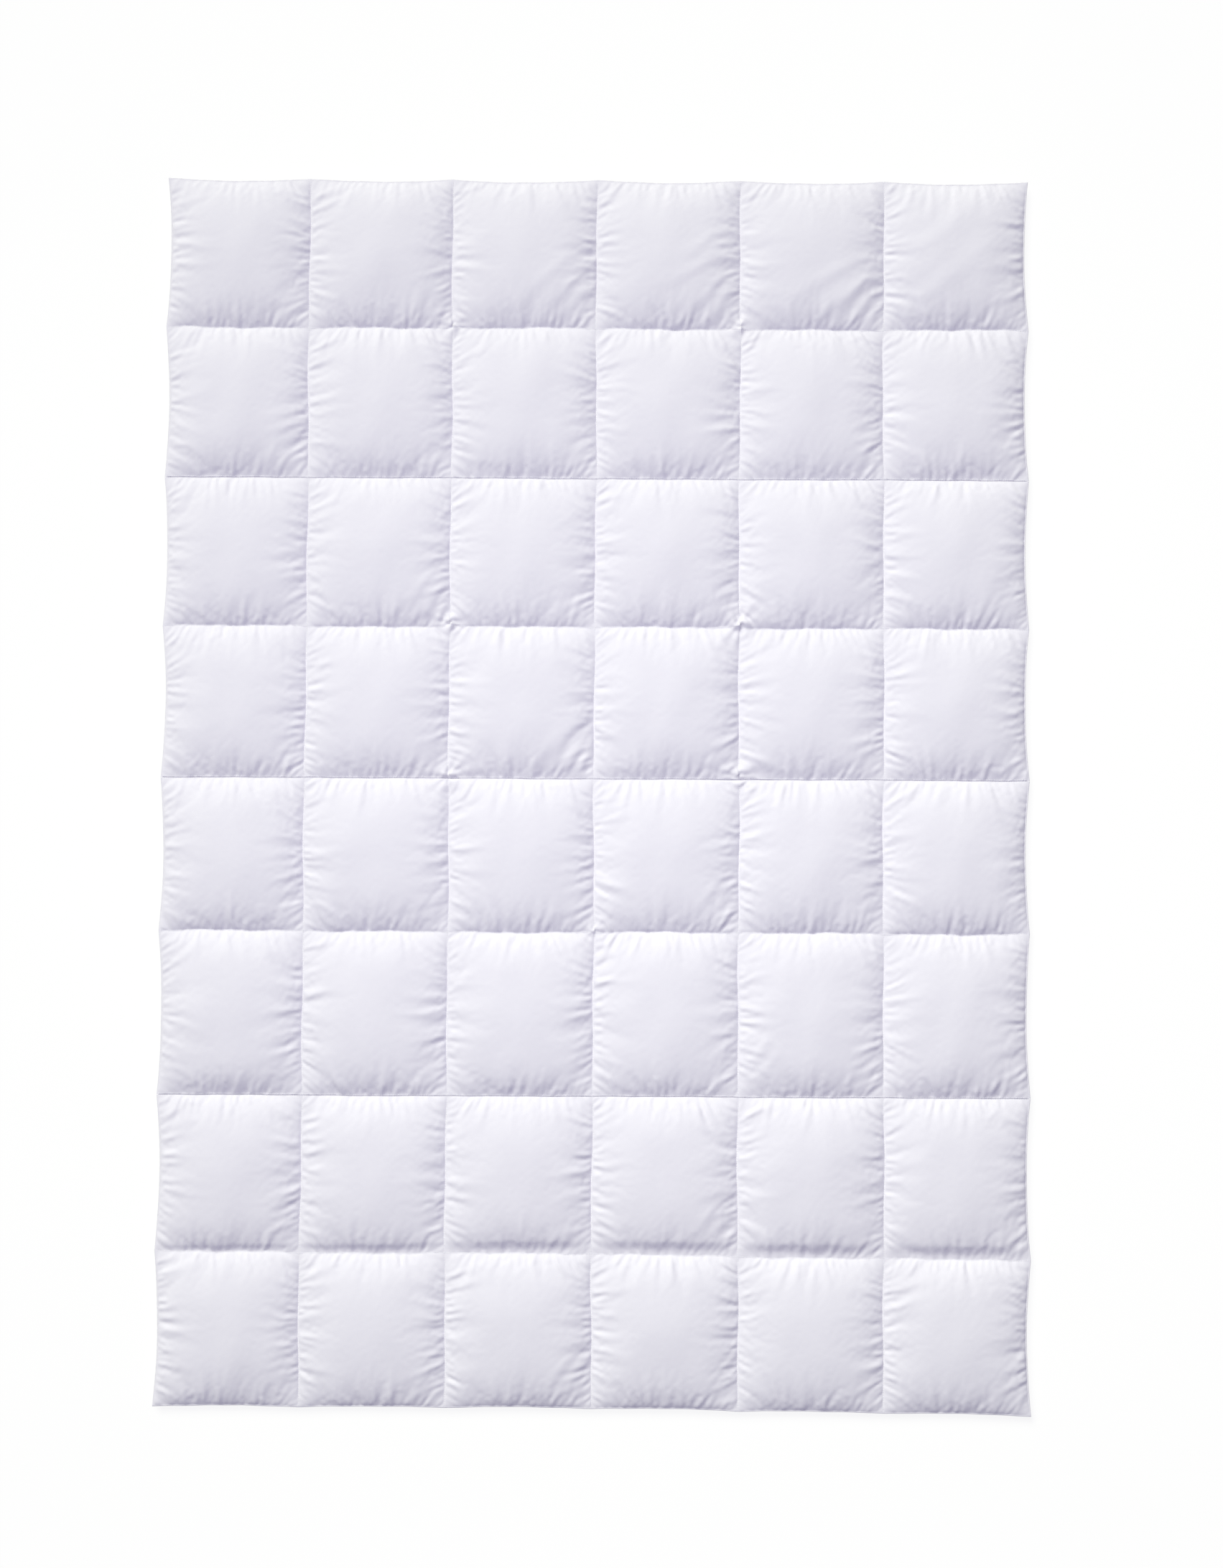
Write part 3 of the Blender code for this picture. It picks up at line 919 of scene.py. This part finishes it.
@dataclass
class ClothPanels:
    """The upper and the lower cloth, cut into panels at the folds."""

    cloth: QuiltedCloth  # the shape of the whole cloth
    puckers: SeamPuckers = field(default_factory=SeamPuckers)  # the small puckers beside the seams
    cloth_gap: float = 0.00025  # half the gap between the two cloths along a seam
    floor_gap: float = 0.0001  # least height of the lower cloth over what the duvet lies on
    press: float = 0.0012  # how softly the underside turns from round to flat
    under_swell: float = 1.6  # how much deeper the underside would be if it lay on nothing, as a factor
    under_pucker: float = 0.5  # share of the small puckers that the underside has
    band_left: float = 0.4  # width of the flat strip at the left end, as a share of its width from the middle on
    band_kept: float = 0.15  # share of the height that is left in it
    band_rise: float = 4.6  # distance over which the cloth rises beyond it, as a share of its width

    def __post_init__(self) -> None:
        """Works out both cloths once, for the panels, the pads and the stitches."""
        self.grid = self.cloth.lattice.shown
        self.flat = self.cloth.plan(self.grid)
        move = self.cloth.shaped()
        mirrored = move[:, ::-1] * np.array([-1.0, 0.0, 1.0])
        self.upper = self._finished(move, Side.UPPER)
        self.lower = self._finished(mirrored, Side.LOWER)

    def _finished(self, move: np.ndarray, side: Side) -> np.ndarray:
        """One whole cloth on the shown grid, in place.

        Args:
            move: Displacements from the plan, height positive away from the seams.
            side: Which cloth it is.

        Returns:
            Its points in the frame.
        """
        q = self.grid.quilting
        points = self.flat + move
        small = self.puckers.heights(self.grid, np.random.default_rng(SEED + side.value))
        height = np.maximum(points[..., 2], 0)
        if side is Side.UPPER:
            knots = sum(knot.raised(self.grid) for knot in KNOTS)
            height = np.maximum(self._banded(height) + small + knots, 0)
        else:
            swollen = height * q.bottom_drop / self.cloth.crown_height * self.under_swell
            height = self._flattened(swollen + self.under_pucker * small)
        to_fold = np.min([np.abs(points[..., 1] - line) for line in self.fold_lines(points)], axis=0)
        limit = self.cloth.fold_slope * np.maximum(to_fold - q.setback, 0)
        height = np.minimum(height, limit + self.floor_gap)
        points[..., 2] = q.seam_height + side.value * (self.cloth_gap + height)
        return points

    def fold_lines(self, points: np.ndarray) -> list[np.ndarray]:
        """Y of each fold's seam along the shown grid, foot first."""
        return [points[row, :, 1].copy() for row in self.cloth.lattice.fold_rows()]

    def _banded(self, height: np.ndarray) -> np.ndarray:
        """Flattens the strip above the last crosswise seam.

        Args:
            height: Heights of the upper cloth over its seams.

        Returns:
            The heights with the strip, which is narrower towards the left.
        """
        q = self.grid.quilting
        above = self.grid.y - q.seams_y[1]
        widening = (1 - self.band_left) * (self.grid.x + q.edge_x) / q.edge_x
        width = self.cloth.flat_band * np.clip(self.band_left + widening, 0, 1)
        share = np.clip((above - 0.2 * width) / (self.band_rise * width), 0, 1)
        held = self.band_kept + (1 - self.band_kept) * share * share * (3 - 2 * share)
        return height * np.where(above > 0, held, 1)

    def _flattened(self, height: np.ndarray) -> np.ndarray:
        """Presses the underside flat against what it lies on.

        Args:
            height: How far the lower cloth swells down from its seams.

        Returns:
            The same, never more than there is room for.
        """
        room = self.grid.quilting.bottom_drop - self.cloth_gap - self.floor_gap
        below = np.clip((room - np.maximum(height, 0)) / self.press, -40, 40)
        return np.maximum(room - self.press * np.log1p(np.exp(below)), 0)

    def build(self, finish: bpy.types.Material) -> list[bpy.types.Object]:
        """Makes both cloths of every panel and fits them to the frame.

        Args:
            finish: The cloth's material.

        Returns:
            The pieces, upper cloths first.
        """
        made = []
        for side, points, end in ((Side.UPPER, self.upper, "top"), (Side.LOWER, self.lower, "bottom")):
            for panel, rows in zip(PANELS, self.cloth.lattice.panel_rows()):
                piece = self._panel(f"{end}_cloth_{panel}", points, rows, side)
                made.append(fitted(piece, finish, panel, f"{end}_shell_{panel}"))
                self._declare(panel, rows)
        return made

    def _panel(self, name: str, points: np.ndarray, rows: slice, side: Side) -> bpy.types.Object:
        """One panel of one cloth, set back from its folds and closed at the duvet's own edges.

        Args:
            name: Its name.
            points: The whole cloth.
            rows: The panel's grid rows.
            side: Which cloth it is.

        Returns:
            The piece.
        """
        q = self.grid.quilting
        panel = points[rows].copy()
        at_foot, at_head = int(rows.start == 0), int(rows.stop == len(self.grid.lines_y))
        if not at_foot:
            panel[0, :, 1] += q.setback
        if not at_head:
            panel[-1, :, 1] -= q.setback
        wide = np.pad(panel, ((at_foot, at_head), (1, 1), (0, 0)), mode="edge")
        rim = np.ones(wide.shape[:2], bool)
        rim[at_foot : wide.shape[0] - at_head, 1:-1] = False
        wide[rim, 2] = q.seam_height
        return new_object(name, grid_mesh(name, wide, side.value))

    def _declare(self, panel: str, rows: slice) -> None:
        """Works out how large the cloth of a panel was cut and which fibre lies under it, but keeps neither.

        Args:
            panel: Its name.
            rows: Its grid rows.
        """
        length = self.grid.lines_y[rows.stop - 1] - self.grid.lines_y[rows.start]
        ease = 1 + self.cloth.recipe.fullness
        first = ROWS_IN_PANEL * PANELS.index(panel) + 1
        under = [
            f"fibre_r{row}_c{column}"
            for row in range(first, first + ROWS_IN_PANEL)
            for column in range(1, COLUMNS + 1)
        ]
        flat = (2 * self.grid.quilting.edge_x * ease, length * ease)


@dataclass
class FoldStrips:
    """The cloth in the bottom of each seam that the duvet folds at."""

    panels: ClothPanels  # the cloths on either side
    half_width: float = 0.0055  # half the width of a strip
    cells: int = 3  # cells across half a strip
    inset: int = 2  # grid points that a strip stops short of each side of the duvet

    def build(self, finish: bpy.types.Material) -> list[bpy.types.Object]:
        """Makes the three strips, one lying flat along each fold.

        Args:
            finish: The cloth's material.

        Returns:
            The pieces.
        """
        q = self.panels.grid.quilting
        middle = self.panels.cloth.lattice.fold_rows()[1]
        part = slice(self.inset, -self.inset)
        across = np.linspace(-self.half_width, self.half_width, 2 * self.cells + 1)
        made = []
        for joint in frame["joints"]:
            fold, name = joint["pos_m"][1], f"strip_{joint['name']}"
            line = min(self.panels.fold_lines(self.panels.upper), key=lambda row: abs(row.mean() - fold))[part]
            points = np.zeros((len(across), len(line), 3))
            points[..., 0] = self.panels.upper[middle, part, 0]
            points[..., 1] = line + across[:, None]
            points[..., 2] = q.seam_height
            piece = new_object(name, grid_mesh(name, points, Side.UPPER.value))
            piece.data.materials.append(finish)
            2 * self.half_width
            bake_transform(piece)
            made.append(piece)
        return made


@dataclass
class FibrePads:
    """The fibre in each box, which the two cloths lie on."""

    panels: ClothPanels  # the cloths that the fibre fills
    clearance: float = 0.0012  # gap between the fibre and the cloth
    step: int = 4  # how many grid cells one cell of a pad spans
    inset: int = 4  # grid cells between a seam and the edge of its pad
    least: float = 0.0001  # half the least thickness of a pad
    fill: float = 0.6  # how full of fibre it is

    def build(self, finish: bpy.types.Material) -> list[bpy.types.Object]:
        """Makes one pad for every box and fits it to the frame.

        Args:
            finish: The fibre's material.

        Returns:
            The pads, row by row from the head.
        """
        top = self._eroded(self.panels.upper[..., 2], np.minimum) - self.clearance
        bottom = self._eroded(self.panels.lower[..., 2], np.maximum) + self.clearance
        made = []
        for row in range(ROWS):
            for column in range(COLUMNS):
                panel, place = PANELS[row // ROWS_IN_PANEL], f"r{row + 1}_c{column + 1}"
                piece = new_object(f"fibre_{place}", self._pad(f"fibre_{place}", row, column, top, bottom))
                made.append(fitted(piece, finish, panel, f"fill_{place}"))
        return made

    def _eroded(self, height: np.ndarray, pick: Callable[..., np.ndarray]) -> np.ndarray:
        """The lowest or highest height within a pad's cell of each point.

        Args:
            height: Heights on the shown grid.
            pick: Chooses the lower or the higher of two.

        Returns:
            The heights chosen.
        """
        found = height.copy()
        for axis in (0, 1):
            line = found.copy()
            for shift in range(-self.step, self.step + 1):
                line = pick(line, np.roll(found, shift, axis))
            found = line
        return found

    def _pad(self, name: str, row: int, column: int, top: np.ndarray, bottom: np.ndarray) -> bpy.types.Mesh:
        """One closed pad.

        Args:
            name: Its name.
            row: Row of its box, from 0 at the head.
            column: Column of its box, from 0 at -X.
            top: How high the fibre may reach on the shown grid.
            bottom: How low.

        Returns:
            Its mesh.
        """
        lattice = self.panels.cloth.lattice
        rows, columns = lattice.seam_rows[::-1], lattice.seam_columns
        ys = np.arange(rows[row + 1] + self.inset, rows[row] - self.inset + 1, self.step)
        xs = np.arange(columns[column] + self.inset, columns[column + 1] - self.inset + 1, self.step)
        at = np.ix_(ys, xs)
        upper, lower = self.panels.upper[at].copy(), self.panels.upper[at].copy()
        middle = (top[at] + bottom[at]) / 2
        upper[..., 2] = np.maximum(top[at], middle + self.least)
        lower[..., 2] = np.minimum(bottom[at], middle - self.least)
        count = upper.shape[0] * upper.shape[1]
        index = np.arange(count).reshape(upper.shape[:2])
        quads = quads_of(index)
        rim = np.concatenate([index[0, :], index[1:, -1], index[-1, -2::-1], index[-2:0:-1, 0]])
        after = np.roll(rim, -1)
        walls = np.stack([rim + count, after + count, after, rim], -1)
        faces = np.concatenate([quads, quads[:, ::-1] + count, walls])
        return smooth_mesh(name, np.concatenate([upper.reshape(-1, 3), lower.reshape(-1, 3)]), faces.tolist())


# Rings of a stitch: place along it, thickness and rise, as shares of its length and of half its thickness.
STITCH_RINGS = ((0.0, 0.55, -0.9), (0.18, 1.0, 0.1), (0.5, 1.0, 0.45), (0.82, 1.0, 0.1), (1.0, 0.55, -0.9))


@dataclass
class Stitching:
    """The stitches along every seam, on both cloths."""

    panels: ClothPanels  # the cloths that they hold together
    pitch: float = 0.0042  # from one stitch to the next
    stitch: float = 0.0034  # length of thread that shows
    thread: float = 0.0006  # thickness of the thread
    proud: float = 0.35  # how far its middle lies over the cloth, as a share of its thickness
    sides: int = 5  # sides of the thread's section
    fold_gap: float = 0.00315  # how far from a fold the lengthwise stitches stop
    fold_shift: float = 0.0022  # how far a fold's own stitches lie to the head side of it
    fold_lift: float = 0.0014  # how far they lie outwards of the seam

    def build(self, finish: bpy.types.Material) -> list[bpy.types.Object]:
        """Makes each panel's stitches as one piece and fits it to the frame.

        Args:
            finish: The thread's material.

        Returns:
            The pieces, head first.
        """
        made = []
        for panel, rows in zip(PANELS, self.panels.cloth.lattice.panel_rows()):
            runs = [self._places(line, outward) for line, outward in self._seam_lines(rows)]
            name = f"stitches_{panel}"
            piece = new_object(name, self._mesh(name, *(np.concatenate(run) for run in zip(*runs))))
            made.append(fitted(piece, finish, panel, f"quilting_thread_{panel}"))
        return made

    def _seam_lines(self, rows: slice) -> list[tuple[np.ndarray, int]]:
        """The seams of a panel. A fold's seam is sewn once, on the panel on its head side.

        Args:
            rows: The panel's grid rows.

        Returns:
            Lines of points, each with the way that its stitches face.
        """
        lattice, folds = self.panels.cloth.lattice, self.panels.grid.quilting.folds
        ends = slice(lattice.seam_columns[0], lattice.seam_columns[-1] + 1)
        found = []
        for points, side in ((self.panels.upper, Side.UPPER), (self.panels.lower, Side.LOWER)):
            for column in lattice.seam_columns[1:-1]:
                line = points[rows, column]
                keep = np.min([np.abs(line[:, 1] - fold) for fold in folds], axis=0) > self.fold_gap
                found.append((line[keep], side.value))
            for row in lattice.seam_rows[1:-1]:
                if not rows.start <= row < rows.stop - (row in lattice.fold_rows()):
                    continue
                line = points[row, ends].copy()
                if row in lattice.fold_rows():
                    line += np.array([0, self.fold_shift, side.value * self.fold_lift])
                found.append((line, side.value))
        return found

    def _places(self, line: np.ndarray, outward: int) -> tuple[np.ndarray, np.ndarray, np.ndarray]:
        """Where the stitches of a seam lie.

        Args:
            line: Points along the seam.
            outward: 1 where they face up, -1 where they face down.

        Returns:
            The start and the end of each stitch, and the way it faces.
        """
        steps = np.linalg.norm(np.diff(line, axis=0), axis=1)
        run = np.concatenate([[0], np.cumsum(steps)])
        at = np.arange(self.pitch / 2, run[-1] - self.pitch, self.pitch)
        lift = np.array([0, 0, outward * self.proud * self.thread])
        starts, ends = (
            np.stack([np.interp(places, run, line[:, i]) for i in range(3)], -1) + lift
            for places in (at, at + self.stitch)
        )
        return starts, ends, np.full(len(at), float(outward))

    def _mesh(self, name: str, starts: np.ndarray, ends: np.ndarray, ups: np.ndarray) -> bpy.types.Mesh:
        """Every stitch as a short length of thread that dips into the cloth at both ends.

        Args:
            name: The mesh's name.
            starts: Where each stitch starts.
            ends: Where it ends.
            ups: 1 where it faces up, -1 where it faces down.

        Returns:
            The mesh.
        """
        along = ends - starts
        length = np.linalg.norm(along, axis=1, keepdims=True)
        along /= length
        up = np.stack([0 * ups, 0 * ups, ups], -1)
        side = np.cross(along, up)
        side /= np.linalg.norm(side, axis=1, keepdims=True)
        up = np.cross(side, along)
        radius = self.thread / 2
        shares, sizes, rises = np.array(STITCH_RINGS).T
        turns = 2 * math.pi * np.arange(self.sides)[:, None] / self.sides
        middle = starts[:, None] + along[:, None] * (length * shares)[..., None]
        middle += up[:, None] * radius * rises[:, None]
        around = side[:, None] * np.cos(turns) + up[:, None] * np.sin(turns)
        cloud = middle[:, :, None] + radius * sizes[:, None, None] * around[:, None]
        index = np.arange(len(shares) * self.sides).reshape(len(shares), self.sides)
        first = np.arange(len(starts))[:, None, None] * index.size
        walls = quads_of(np.concatenate([index, index[:, :1]], 1)) + first
        caps = np.stack([index[0, ::-1], index[-1]]) + first
        faces = walls.reshape(-1, 4).tolist() + caps.reshape(-1, self.sides).tolist()
        return smooth_mesh(name, cloud, faces)


# --------------------------------------------------------------------------- finishes


class Value:
    """A number or vector in a shader, on which Python's operators add the Math nodes."""

    def __init__(self, recipe: Shader, socket: bpy.types.NodeSocket) -> None:
        """Wraps an output socket of a node in a recipe's tree."""
        self.recipe = recipe
        self.socket = socket

    def _with(self, operation: str, *others: Value | float) -> Value:
        """A Math node on this value and the others."""
        inputs = dict(enumerate((self, *others)))
        return self.recipe.node("ShaderNodeMath", {"operation": operation}, inputs)

    def __add__(self, other: Value | float) -> Value:
        """The sum."""
        return self._with("ADD", other)

    __radd__ = __add__

    def __mul__(self, other: Value | float) -> Value:
        """The product."""
        return self._with("MULTIPLY", other)

    __rmul__ = __mul__

    def __sub__(self, other: Value | float) -> Value:
        """The difference."""
        return self._with("SUBTRACT", other)

    def __rsub__(self, other: float) -> Value:
        """A number less this value."""
        return self._with("MULTIPLY", -1.0)._with("ADD", other)

    def sine(self) -> Value:
        """The sine."""
        return self._with("SINE")


Input = Value | float | tuple[float, ...]


class Shader:
    """One material's node tree, filled through a single node method."""

    def __init__(self, name: str) -> None:
        """Starts a material with a Principled shader.

        Args:
            name: The material's name.
        """
        self.material = bpy.data.materials.new(name)
        self.material.use_nodes = True
        self.tree = self.material.node_tree
        self.principled = self.tree.nodes["Principled BSDF"]

    def node(self, kind: str, settings: dict[str, object], inputs: dict[int | str, Input], out: int | str = 0) -> Value:
        """Adds a node.

        Args:
            kind: The node's type.
            settings: Its own settings, set first. Stops are a ramp's positions and colours.
            inputs: Values or links of its sockets, by name or number.
            out: Which output is wanted.

        Returns:
            That output.
        """
        made = self.tree.nodes.new(kind)
        for key, value in settings.items():
            if key == "stops":
                self._set_stops(made.color_ramp, value)
            else:
                setattr(made, key, value)
        for key, value in inputs.items():
            self._feed(made.inputs[key], value)
        return Value(self, made.outputs[out])

    def _set_stops(self, ramp: bpy.types.ColorRamp, stops: Sequence[tuple[float, tuple[float, ...]]]) -> None:
        """Gives a ramp its stops.

        Args:
            ramp: The ramp.
            stops: Its positions and colours, at least two.
        """
        for number, (place, colour) in enumerate(stops):
            element = ramp.elements[number] if number < 2 else ramp.elements.new(place)
            element.position = place
            element.color = (*colour, 1)

    def _feed(self, socket: bpy.types.NodeSocket, value: Input) -> None:
        """Links a socket, or sets it.

        Args:
            socket: The socket.
            value: A value in the tree, or a constant.
        """
        if isinstance(value, Value):
            self.tree.links.new(value.socket, socket)
        else:
            socket.default_value = value

    def coordinates(self) -> Value:
        """The piece's own coordinates."""
        return self.node("ShaderNodeTexCoord", {}, {}, "Object")

    def axes(self) -> tuple[Value, Value, Value]:
        """The piece's own coordinates as three values."""
        split = self.node("ShaderNodeSeparateXYZ", {}, {0: self.coordinates()})
        outputs = split.socket.node.outputs
        return tuple(Value(self, outputs[number]) for number in range(3))

    def noise(self, size: float, detail: float = 2.0, stretch: tuple[float, float, float] = (1, 1, 1)) -> Value:
        """Noise of about 0 to 1.

        Args:
            size: Size of its features.
            detail: How much finer detail it has.
            stretch: How much longer its features are along each axis.

        Returns:
            The noise.
        """
        scaled = self.node(
            "ShaderNodeVectorMath",
            {"operation": "MULTIPLY"},
            {0: self.coordinates(), 1: tuple(1 / (size * part) for part in stretch)},
        )
        return self.node("ShaderNodeTexNoise", {}, {"Vector": scaled, "Scale": 1.0, "Detail": detail})

    def ramp(self, value: Value, stops: Sequence[tuple[float, tuple[float, ...]]]) -> Value:
        """A colour for each value."""
        return self.node("ShaderNodeValToRGB", {"stops": stops}, {0: value})

    def surface(self, constants: dict[str, Input], varying: dict[str, Value]) -> bpy.types.Material:
        """Sets the shader's sockets.

        Args:
            constants: What is set by value.
            varying: What is linked.

        Returns:
            The finished material.
        """
        for key, value in (constants | varying).items():
            self._feed(self.principled.inputs[key], value)
        return self.material

    def bump(self, height: Value, distance: float, strength: float) -> Value:
        """A normal from a height of 0 to 1."""
        inputs = {"Height": height, "Distance": distance, "Strength": strength}
        return self.node("ShaderNodeBump", {}, inputs, "Normal")


@dataclass(frozen=True)
class Percale:
    """White cotton percale with a cool cast, as the two cloths are made of."""

    thread: float = 0.00055  # from one thread of the weave to the next
    light: tuple[float, float, float] = (0.750, 0.736, 0.809)  # colour of the cloth
    dull_tone_and_shade: tuple[float, float, float] = (0.720, 0.705, 0.783)  # colour of its duller patches

    def material(self) -> bpy.types.Material:
        """A plain weave with slubs, faint mottling and a soft sheen.

        Returns:
            The material.
        """
        shader = Shader("percale")
        x, y, _ = shader.axes()
        turns = math.pi / self.thread
        weave = (x * turns).sine() * (y * turns).sine()
        slubs = shader.noise(0.0016, 1.0, (6, 1, 1)) + shader.noise(0.0016, 1.0, (1, 6, 1))
        mottle = shader.noise(0.05, 3.0)
        tone = mottle * 0.6 + slubs * 0.2
        colour = shader.ramp(tone, ((0.25, self.dull_tone_and_shade), (0.75, self.light)))
        height = weave * 0.25 + slubs * 0.5
        return shader.surface(
            {"Sheen Weight": 0.25, "Sheen Roughness": 0.4, "Specular IOR Level": 0.25},
            {
                "Base Color": colour,
                "Roughness": 0.74 + mottle * 0.16,
                "Normal": shader.bump(height, 0.00012, 0.35),
            },
        )


@dataclass(frozen=True)
class SewingThread:
    """Twisted sewing thread with a slight shine."""

    twist: float = 0.0007  # from one turn of the thread's plies to the next
    light: tuple[float, float, float] = (0.90, 0.90, 0.93)  # colour of the thread
    dull_tone_and_shade: tuple[float, float, float] = (0.70, 0.70, 0.78)  # painted shade between its plies

    def material(self) -> bpy.types.Material:
        """Plies that run slantwise along the thread.

        Returns:
            The material.
        """
        shader = Shader("sewing_thread")
        x, y, z = shader.axes()
        turns = 2 * math.pi / self.twist
        plies = (x * turns + y * turns + z * turns).sine() * 0.5 + 0.5
        fuzz = shader.noise(0.0004, 2.0)
        # painted shade: the thread is coloured darker in the grooves between its plies
        colour = shader.ramp(plies * 0.7 + fuzz * 0.3, ((0.1, self.dull_tone_and_shade), (0.6, self.light)))
        return shader.surface(
            {"Specular IOR Level": 0.4, "Sheen Weight": 0.1},
            {"Base Color": colour, "Roughness": 0.5 + fuzz * 0.2, "Normal": shader.bump(plies, 0.0001, 0.5)},
        )


@dataclass(frozen=True)
class FibreFill:
    """Crimped white polyester fibre."""

    fibre: float = 0.006  # size of the tufts
    light: tuple[float, float, float] = (0.92, 0.92, 0.90)  # colour of the tufts
    dull_tone_and_shade: tuple[float, float, float] = (0.74, 0.74, 0.73)  # painted shade between them

    def material(self) -> bpy.types.Material:
        """Tangled tufts.

        Returns:
            The material.
        """
        shader = Shader("fibre_fill")
        tufts = shader.noise(self.fibre, 6.0)
        strands = shader.noise(self.fibre / 5, 4.0, (4, 1, 1))
        tone = tufts * 0.6 + strands * 0.4
        # painted shade: the fibre is coloured darker in the hollows between its tufts
        colour = shader.ramp(tone, ((0.3, self.dull_tone_and_shade), (0.6, self.light)))
        return shader.surface(
            {"Sheen Weight": 0.4, "Sheen Roughness": 0.6, "Specular IOR Level": 0.2},
            {"Base Color": colour, "Roughness": 0.85 + tufts * 0.12, "Normal": shader.bump(tone, 0.002, 0.6)},
        )


# --------------------------------------------------------------------------- the studio


@dataclass(frozen=True)
class Studio:
    """A plain white floor, soft light from the head end and the left, and a camera straight above."""

    distance: float = 4.5  # from the camera to what it aims at
    tilt: float = 2.64  # how far the camera leans from straight down, in degrees
    roll: float = 0.29  # how far the picture is turned, in degrees
    aim: tuple[float, float, float] = (0.0293, 0.0096, 0.015)  # where it looks
    picture_height: float = 2.798  # height of the picture at that distance
    sun_strength: float = 2.96  # strength of the key light
    sun_softness: float = 34.0  # angle that the key light fills, in degrees
    sun_from: tuple[float, float, float] = (-0.46, 0.90, 0.98)  # direction that the key light comes from
    sun_colour: tuple[float, float, float] = (1.0, 1.035, 0.83)  # its colour
    fill: tuple[float, float, float] = (0.935, 0.885, 1.31)  # colour of the light from all around
    fill_strength: float = 0.262  # its strength
    overhead_power: float = 7.8  # power of the soft light over the middle of the duvet, in watts
    overhead_size: float = 1.2  # its size
    overhead_place: tuple[float, float, float] = (0.0, 0.08, 1.7)  # where it hangs
    overhead_colour: tuple[float, float, float] = (0.99, 0.968, 1.05)  # its colour
    floor_size: float = 40.0  # size of the floor
    floor_height: float = -0.0006  # its height, just under the duvet
    floor_colour: tuple[float, float, float] = (0.12, 0.12, 0.12)  # its colour
    floor_glow: float = 0.872  # how much it is lit from below, as a light table is

    def build(self) -> None:
        """Makes the floor, the lights and the camera."""
        bpy.context.scene.view_settings.view_transform = "Standard"
        self._floor()
        self._lights()
        self._camera()

    def _floor(self) -> None:
        """A matt white floor, lit from below."""
        sides = (-self.floor_size / 2, self.floor_size / 2)
        corners = np.array([[[x, y, self.floor_height] for x in sides] for y in sides])
        floor = new_object("floor", grid_mesh("floor", corners, Side.UPPER.value))
        shader = Shader("floor")
        grain = shader.noise(0.4, 2.0)
        dull = tuple(0.985 * part for part in self.floor_colour)
        colour = shader.ramp(grain, ((0.3, dull), (0.7, self.floor_colour)))
        glow = {"Emission Color": (1, 1, 1, 1), "Emission Strength": self.floor_glow}
        material = shader.surface({"Specular IOR Level": 0.1, "Roughness": 0.9, **glow}, {"Base Color": colour})
        floor.data.materials.append(material)

    def _light(self, name: str, kind: str, power: float, colour: tuple[float, float, float]) -> bpy.types.Object:
        """One light.

        Args:
            name: Its name.
            kind: Its type.
            power: Its power or strength.
            colour: Its colour.

        Returns:
            The light, at the frame's origin.
        """
        data = bpy.data.lights.new(name, kind)
        data.energy, data.color = power, colour
        return new_object(name, data)

    def _lights(self) -> None:
        """A broad key light, a soft one overhead and an even fill."""
        key = self._light("key", "SUN", self.sun_strength, self.sun_colour)
        key.data.angle = math.radians(self.sun_softness)
        key.rotation_euler = Vector(self.sun_from).to_track_quat("Z", "Y").to_euler()
        overhead = self._light("overhead", "AREA", self.overhead_power, self.overhead_colour)
        overhead.data.size = self.overhead_size
        overhead.location = self.overhead_place
        overhead.visible_camera = False
        world = bpy.data.worlds.new("studio")
        world.use_nodes = True
        background = world.node_tree.nodes["Background"]
        background.inputs["Color"].default_value = (*self.fill, 1)
        background.inputs["Strength"].default_value = self.fill_strength
        bpy.context.scene.world = world

    def _camera(self) -> None:
        """A camera over the middle of the duvet, leaning a little towards its head."""
        data = bpy.data.cameras.new("camera")
        data.sensor_fit = "VERTICAL"
        data.sensor_height = 24.0
        data.lens = data.sensor_height * self.distance / self.picture_height
        data.dof.use_dof = False
        camera = new_object("camera", data)
        lean = math.radians(self.tilt)
        away = Vector((0, -math.sin(lean), math.cos(lean))) * self.distance
        turn = Matrix.Rotation(math.radians(self.roll), 4, "Z")
        camera.matrix_world = Matrix.Translation(Vector(self.aim) + away) @ Matrix.Rotation(lean, 4, "X") @ turn
        bpy.context.scene.camera = camera


def main() -> None:
    """Builds the duvet's pieces and its studio in order."""
    logging.basicConfig(level=logging.INFO, format="%(name)s: %(message)s")
    Studio().build()
    quilting = Quilting.from_frame(border=0.0015)
    panels = ClothPanels(QuiltedCloth(Lattice(quilting)))
    percale = Percale().material()
    made = panels.build(percale)
    made += FoldStrips(panels).build(percale)
    made += FibrePads(panels).build(FibreFill().material())
    made += Stitching(panels).build(SewingThread().material())
    for piece in made:
        LOG.info("%s: %d faces", piece.name, len(piece.data.polygons))


if __name__ == "__main__":
    main()
